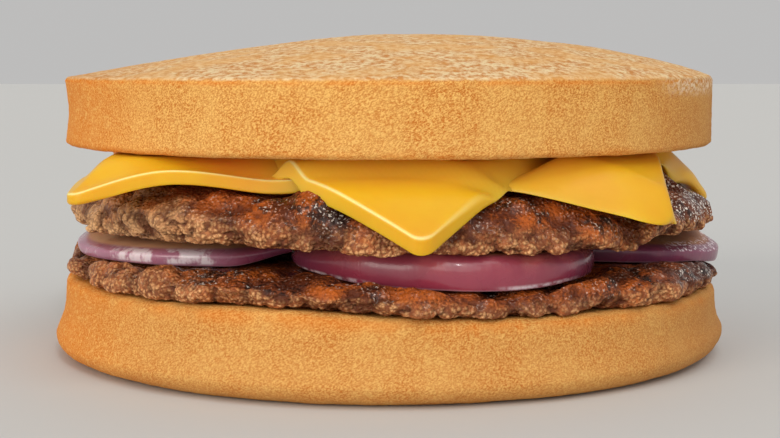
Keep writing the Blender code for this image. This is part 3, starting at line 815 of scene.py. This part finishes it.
cheese = {
    "cells": 96,
    "thickness": 2.1 * mm,
    "edgeCrisp": (0.3 * mm, 0.3 * mm),  # how far in and how far down the edges are rounded at the left
    "edgeSoft": (1.5 * mm, 1.0 * mm),  # and at the right, and under the left corner
    "softFrom": (6 * mm, 18 * mm),
    "softCorner": (39 * mm, 46 * mm),
    "edgePower": 12,  # how soon the rounding fades away from the edges
    "crispFades": (4 * mm, 8 * mm),  # the painted highlight along the rim is half as bright to the right of here
    "thinEdge": (8.5 * mm, 0.8),  # the lower slice thins out so far in from its right edge, and so much
    "feather": (5.5 * mm, 3.0 * mm),  # the upper one melts into it so far in, at the front and the back
    "featherGrows": (-48 * mm, -40 * mm),
    "featherThin": 0.85,
    "featherSink": 0.85 * mm,
    "sinkFrom": (-1.0 * mm, 1.0 * mm),
    "featherLeft": (-50 * mm, -45 * mm),  # and this starts and is complete at these depths
    "featherRight": (-54 * mm, -47.5 * mm),
    "featherOn": ((-1.5 * mm, 2.5 * mm), (-6.5 * mm, -1.5 * mm)),  # so far inside the lower slice's edge
    "shadeFrom": (54 * mm, 47 * mm),  # the cheese is a deeper orange under the lid, a painted shade
    "puffFrom": (0.3 * mm, 6.0 * mm),  # the lower slice rises to the lid so far in from its edge
    "puffTo": ((2.0 * mm, 9.0 * mm), (-3.0 * mm, 2.5 * mm)),  # and is flat so far inside the upper slice
    "free": (0.5 * mm, 1.5 * mm),  # the patty can stand up so far outside a slice, but not at the right
    "freeEnds": (34 * mm, 40 * mm),
    "cloud": 12 * mm,  # sizes of the patterns
    "streak": 0.8 * mm,
    "ripple": 3.5 * mm,
    "shadeAmberFrom": (-26 * mm, -12 * mm),
    "crowding": 0.72,
    "levels": 12,
    "yellow": tone(231, 180, 26),
    "deep": tone(227, 167, 24),
    # painted shade tints, under the lid
    "shadeOrange": tone(252, 150, 56),
    "shadeAmber": tone(255, 192, 66),
    # the colour of the painted highlight along the upper edges
    "shine": tone(255, 242, 168),
}

lowerCheese = {
    "corners": ((-46.8, -45.5), (42.8, -46.0), (45.0, 42.0), (-47.0, 41.5)),
    "falls": (
        *((-90, 50.0, 15), (-54, 47.2, 17.7), (-44, 46.8, 21.5), (44, 50.0, 24)),
        *((136, 50.0, 24), (200, 46.5, 12), (224, 54.0, 17), (270, 50.0, 15)),
    ),
    "bend": 7.0 * mm,
    "spread": 0.0,
    "round": ((0.06, 0.15), (0.06, 0.06)),  # how rounded its corners are, in half sides
    "steep": (1, 3, 1, 1),  # how soon its face rises from its front, right, back and left edges
}

upperCheese = {
    "corners": ((5.0, -61.4), (57.2, 2.0), (1.0, 59.0), (-46.0, -12.0)),
    "falls": (
        *((-86, 47.1, 44), (-62, 47.1, 44), (-48, 50.6, 16), (-16, 51.1, 18)),
        *((2, 48.4, 34), (89, 48.0, 36), (180, 49.7, 10), (274, 47.1, 44)),
    ),
    "bend": 5.5 * mm,
    "spread": 3.0 * mm,
    "round": ((0.06, 0.07), (0.06, 0.06)),
}

# The upper slice steps down so far outside the lower one's edge, at the front and elsewhere.
hug = {
    "front": (0.6 * mm, 3.2 * mm),
    "elsewhere": (1.0 * mm, 8.8 * mm),
    "frontEnds": -20 * mm,
    "under": 3.0 * mm,
    "thin": (-40 * mm, -4 * mm),  # it follows the lower slice's thin edge in front of these depths
    "corner": (6.5 * mm, -10 * mm, 3 * mm),  # and steps down sooner right of the middle, up to these
}

# The upper patty stands up beside the lower slice on the right, as far to the front and back as "ends".
shoulder = {
    "rise": 2.2 * mm,
    "beside": (0.3 * mm, 1.6 * mm),
    "ends": (14 * mm, 28 * mm),
    "corner": 2.6 * mm,  # under the upper slice's right corner too
    "cornerFrom": (44 * mm, 49 * mm),
    "cornerFront": (-24 * mm, -12 * mm),
    "cornerBack": (10 * mm, 20 * mm),
    "wedge": 1.7 * mm,  # and at the front between the slices
    "wedgeAt": (-11 * mm, -48 * mm),
    "wedgeSize": 5.5 * mm,
}


def fall(x, y, stops):  # where a slice bends over the patty towards (x, y), and how steeply it then hangs
    heading = math.degrees(math.atan2(y, x))
    if heading < stops[0][0]:
        heading += 360
    last, radius, steepness = stops[0]
    for after, nextRadius, nextSteepness in stops[1:]:
        if heading <= after:
            t = ramp(heading, last, after)
            radius += (nextRadius - radius) * t
            steepness += (nextSteepness - steepness) * t
            break
        last, radius, steepness = after, nextRadius, nextSteepness
    return radius * mm, math.radians(steepness)


# The lower slice's front edge rises at the left, and sags beside the upper slice's corner.
frontWaves = ((1.1 * mm, -34 * mm, 10 * mm), (-1.0 * mm, -16 * mm, 7 * mm))  # height, place and width
frontWavesFrom = (26 * mm, 44 * mm)


def frontWave(x, y):
    waves = sum(height * math.exp(-(((x - middle) / width) ** 2)) for height, middle, width in frontWaves)
    return waves * ramp(-y, *frontWavesFrom)


def draped(x, y, height, slab):  # where a point of the flat slice lies once it hangs over the patty
    reach = math.hypot(x, y)
    outward = Vector((x, y, 0)) / max(reach, 1e-9)
    start, steepest = fall(x, y, slab["falls"])
    outer = slab["bend"] + height
    angle = min(steepest, max(0.0, (reach - start) / outer))
    along = max(0.0, reach - start - outer * steepest)
    radius = min(reach, start) + outer * math.sin(angle) + along * math.cos(angle)
    drop = outer * math.cos(angle) - slab["bend"] - along * math.sin(angle)
    return outward * radius + Vector((0, 0, stack["upperBeefTop"] + drop))


def underSlice(x, y, slab):  # the highest that the patty can stand under this slice, or beside it
    start, steepest = fall(x, y, slab["falls"])
    reach = math.hypot(x, y)
    beyond = reach - start - slab["bend"] * math.tan(steepest / 2)
    unrolled = 1 + max(0.0, reach - start) * (1 / math.cos(steepest) - 1) / reach
    free = ramp(-insideSlice(x * unrolled, y * unrolled, slab["corners"]), *cheese["free"])
    free *= 1 - ramp(x, *cheese["freeEnds"])
    under = stack["upperBeefTop"] - 1.6 * stack["gap"] - max(0.0, beyond) * math.tan(steepest)
    return under + frontWave(x, y) + free * cheese["thickness"]


def shoulderRise(x, y):
    beside = ramp(x - lowerCheese["corners"][1][0] * mm, *shoulder["beside"])
    return shoulder["rise"] * beside * (1 - ramp(abs(y), *shoulder["ends"]))


def pattyRise(x, y):
    dx, dy = x - shoulder["wedgeAt"][0], y - shoulder["wedgeAt"][1]
    wedge = shoulder["wedge"] * math.exp(-(math.hypot(dx, dy) ** 2) / shoulder["wedgeSize"] ** 2)
    corner = shoulder["corner"] * ramp(x, *shoulder["cornerFrom"])
    corner *= ramp(y, *shoulder["cornerFront"]) * (1 - ramp(y, *shoulder["cornerBack"]))
    return shoulderRise(x, y) + max(0.0, frontWave(x, y)) + wedge + corner


def underCheese(x, y):  # under both slices, or under the upper one where the patty rises beside the lower
    rise = shoulderRise(x, y)
    if rise > 0:
        return underSlice(x, y, upperCheese) + min(rise, liftOff(x, y, lowerCheese) - stack["gap"])
    return min(underSlice(x, y, lowerCheese), underSlice(x, y, upperCheese))


def insideSlice(x, y, corners, steep=(1, 1, 1, 1)):  # how far inside the outline of a slice a point lies
    depths = []
    for (ax, ay), (bx, by), scale in zip(corners, corners[1:] + corners[:1], steep):
        across = (bx - ax) * (y - ay * mm) - (by - ay) * (x - ax * mm)
        depths.append(scale * across / math.hypot(bx - ax, by - ay))
    return min(depths)


def liftOff(x, y, beneath, level=1):  # how high a slice lies, at this level of its thickness
    if beneath is None:
        return stack["gap"]
    near, far = hug["front"] if y < hug["frontEnds"] else hug["elsewhere"]
    if y >= hug["frontEnds"]:
        if x > 0:
            far = hug["corner"][0] + (far - hug["corner"][0]) * ramp(y, *hug["corner"][1:])
        far = hug["under"] + (far - hug["under"]) * level
    covered = 1 - ramp(-insideSlice(x, y, beneath["corners"]), near, far)
    share = thinned(x, y, beneath, ramp(x, *cheese["softFrom"]) * (1 - ramp(y, *hug["thin"])))
    return stack["gap"] + covered * (cheese["thickness"] * share + stack["gap"])


def melted(x, y, slab, beneath):  # 1 where the upper slice's edge has melted right into the lower slice
    if beneath is None:
        return 0
    depth = insideSlice(x, y, slab["corners"]) + slab["spread"] * (x < 0)
    on = ramp(insideSlice(x, y, beneath["corners"]), *cheese["featherOn"][x > 0])
    along = ramp(y, *cheese["featherLeft" if x < 0 else "featherRight"])
    narrow, wide = cheese["feather"]
    return (1 - ramp(depth, 0, narrow + (wide - narrow) * ramp(y, *cheese["featherGrows"]))) * along * on


def thinned(x, y, slab, softness):  # the share of its thickness that the lower slice keeps on the right
    reach, most = cheese["thinEdge"]
    if slab is not lowerCheese:
        return 1
    inward = min(1.0, max(0.0, insideSlice(x, y, slab["corners"], slab["steep"]) / reach))
    return 1 - softness * most * (1 - math.sqrt(1 - (1 - inward) ** 2))


def rounded(u, v, corners):  # a point of the square from -1 to 1, which has its corners rounded so much
    reach = corners[v > 0][u > 0]
    a, b = ((abs(c) - 1) / reach + 1 for c in (u, v))
    if a <= 0 or b <= 0:
        return u, v
    inward = max(a, b) / math.hypot(a, b)
    return tuple(math.copysign(1 + (c * inward - 1) * reach, sign) for c, sign in ((a, u), (b, v)))


def puffed(x, y):  # how much of its way to the lid the lower slice's upper face rises
    risen = ramp(insideSlice(x, y, lowerCheese["corners"], lowerCheese["steep"]), *cheese["puffFrom"])
    return risen * (1 - ramp(insideSlice(x, y, upperCheese["corners"]), *cheese["puffTo"][x > 0]))


def cheesePiece(name, node, slab, material, beneath=None):
    bm = bmesh.new()
    rim, shade = bm.verts.layers.float.new("rim"), bm.verts.layers.float.new("shade")
    bmesh.ops.create_grid(bm, x_segments=cheese["cells"], y_segments=cheese["cells"], size=1)
    raised = bmesh.ops.extrude_face_region(bm, geom=bm.faces[:])["geom"]
    for item in raised:
        if isinstance(item, bmesh.types.BMVert):
            item.co.z = 1
    standing = [edge for edge in bm.edges if edge.verts[0].co.xy == edge.verts[1].co.xy]
    bmesh.ops.subdivide_edges(bm, edges=standing, cuts=cheese["levels"])
    front, right, back, left = (Vector(corner) * mm for corner in slab["corners"])
    edge = left - front
    outward = Vector((-edge.y, edge.x)).normalized() * slab["spread"]
    halfWidth = edge.length / 2
    for vert in bm.verts:
        level = 0.5 - 0.5 * math.cos(math.pi * vert.co.z)
        u, v = (math.copysign(abs(c) ** cheese["crowding"], c) for c in vert.co.xy)
        across = front.lerp(right, 0.5 + 0.5 * u).lerp(left.lerp(back, 0.5 + 0.5 * u), 0.5 + 0.5 * v).x
        softness = ramp(across, *cheese["softFrom"])
        roundness = softness if level > 0.5 else max(softness, ramp(-across, *cheese["softCorner"]))
        inwards, down = (a + (b - a) * roundness for a, b in zip(cheese["edgeCrisp"], cheese["edgeSoft"]))
        fromFace = min(level, 1 - level) * cheese["thickness"] / down
        turning = max(0.0, 1 - fromFace)
        cut = inwards * (1 - math.sqrt(1 - turning**2)) / halfWidth
        inset = 1 - cut * max(abs(u), abs(v)) ** cheese["edgePower"]
        s, t = (0.5 * (1 + c * inset) for c in rounded(u, v, slab["round"]))
        flat = front.lerp(right, s).lerp(left.lerp(back, s), t) + outward * (4 * t * (1 - t) * (1 - s))
        gone = melted(*flat, slab, beneath)
        # a painted highlight along the upper edges, kept in the rim attribute
        if level > 0.5 and max(abs(u), abs(v)) > 0.999:
            crisp = (1 - softness) * (1 - 0.5 * ramp(across, *cheese["crispFades"]))
            vert[rim] = crisp * (1 - gone) * math.sin(2 * math.asin(turning)) ** 2
        # painted shade tint under the lid, and where the upper slice has melted into the lower
        vert[shade] = max(ramp(flat.length, *cheese["shadeFrom"]), gone)
        sink = gone and gone * ramp(insideSlice(*flat, beneath["corners"]), *cheese["sinkFrom"])
        share = (1 - cheese["featherThin"] * gone) * thinned(*flat, slab, softness)
        height = liftOff(*flat, beneath, level) - cheese["featherSink"] * sink
        height += level * cheese["thickness"] * share
        height += frontWave(*flat) * (1 if beneath is None else 1 - level * (1 - gone))
        if beneath is None:
            highest = stack["lidUnder"] - stack["upperBeefTop"] - stack["gap"]
            height += level * puffed(*flat) * max(0.0, highest - height)
        vert.co = settled(draped(*flat, height, slab))
    outwards(bm)
    piece(name, bm, material, node)


def cheeseFinish():
    melt = Finish(
        "melted_cheese",
        Roughness=0.4,
        Specular_IOR_Level=0.3,
        Subsurface_Weight=0.5,
        Subsurface_Scale=0.003,
        Subsurface_Radius=(1.0, 0.55, 0.12),
        Coat_Weight=0.1,
        Coat_Roughness=0.16,
    )
    clouds = melt.between(melt.noise(cheese["cloud"], 3), 0.35, 0.7)
    yellow = melt.blend(clouds, cheese["yellow"], cheese["deep"])
    # painted shade tint: orange at the left and a lighter amber to the right
    shadeAmber = melt.blend(melt.between(melt.along(0), *cheese["shadeAmberFrom"]), cheese["shadeOrange"], cheese["shadeAmber"])
    yellow = melt.blend(melt.attribute("shade") * 0.8, yellow, shadeAmber)
    melt.feed(Base_Color=melt.blend(melt.attribute("rim") * 0.82, yellow, cheese["shine"]))
    streaks = melt.noise(cheese["streak"], 3, (0.06, 0.06, 1))
    melt.bump(streaks * 0.3 + melt.noise(cheese["ripple"], 2), 0.10 * mm, 0.5)
    return melt.material


patty("beef_upper", "patty_upper", upperBeef, searedBeef, underCheese, pattyRise)
meltedCheese = cheeseFinish()
cheesePiece("melt_lower", "cheese_lower", lowerCheese, meltedCheese)
cheesePiece("melt_upper", "cheese_upper", upperCheese, meltedCheese, lowerCheese)

# Floor, light and camera

studio = {
    "floor": tone(208, 208, 206),
    "sky": (0.51, 0.505, 0.50, 1),
    "key": {"heading": -132, "height": 13, "softness": 36, "strength": 1.4, "colour": (1.0, 0.95, 0.86)},
    "fill": {"heading": -82, "height": 27, "softness": 40, "strength": 0.55, "colour": (1.0, 0.97, 0.93)},
    "top": {"heading": -60, "height": 60, "softness": 40, "strength": 0.6, "colour": (1.0, 0.98, 0.95)},
    "spark": {"heading": -75, "height": 38, "softness": 3, "strength": 0.2, "colour": (1.0, 1.0, 1.0)},
    "eye": (0, -265 * mm, 47.4 * mm),
    "pitch": 5.65,  # degrees below the horizon
    "focal": 1540,  # in pixels of the photo
    "photoWidth": 780,
    "photoShift": 1.5,
}


def studioScene():
    bm = bmesh.new()
    bmesh.ops.create_grid(bm, x_segments=1, y_segments=1, size=4)
    mesh = bpy.data.meshes.new("floor")
    bm.to_mesh(mesh)
    bm.free()
    mesh.materials.append(Finish("pale_paper", Roughness=0.8, Base_Color=studio["floor"]).material)
    placed("floor", mesh)
    world = bpy.data.worlds.new("studio")
    world.use_nodes = True
    world.node_tree.nodes["Background"].inputs["Color"].default_value = studio["sky"]
    bpy.context.scene.world = world
    for name in ("key", "fill", "top", "spark"):
        light = studio[name]
        lamp = bpy.data.lights.new(name, "SUN")
        lamp.angle = math.radians(light["softness"])
        lamp.energy, lamp.color = light["strength"], light["colour"]
        tilt, heading = math.radians(90 - light["height"]), math.radians(light["heading"] + 90)
        placed(name, lamp).rotation_euler = (tilt, 0, heading)


def photoCamera():
    lens = bpy.data.cameras.new("camera")
    lens.sensor_width = 36
    lens.lens = studio["focal"] / studio["photoWidth"] * lens.sensor_width
    lens.shift_x = studio["photoShift"] / studio["photoWidth"]
    lens.clip_start = 0.01
    made = placed("camera", lens)
    made.location = studio["eye"]
    made.rotation_euler = (math.radians(90 - studio["pitch"]), 0, 0)
    bpy.context.scene.camera = made


studioScene()
photoCamera()
bpy.context.scene.view_settings.view_transform = "Standard"
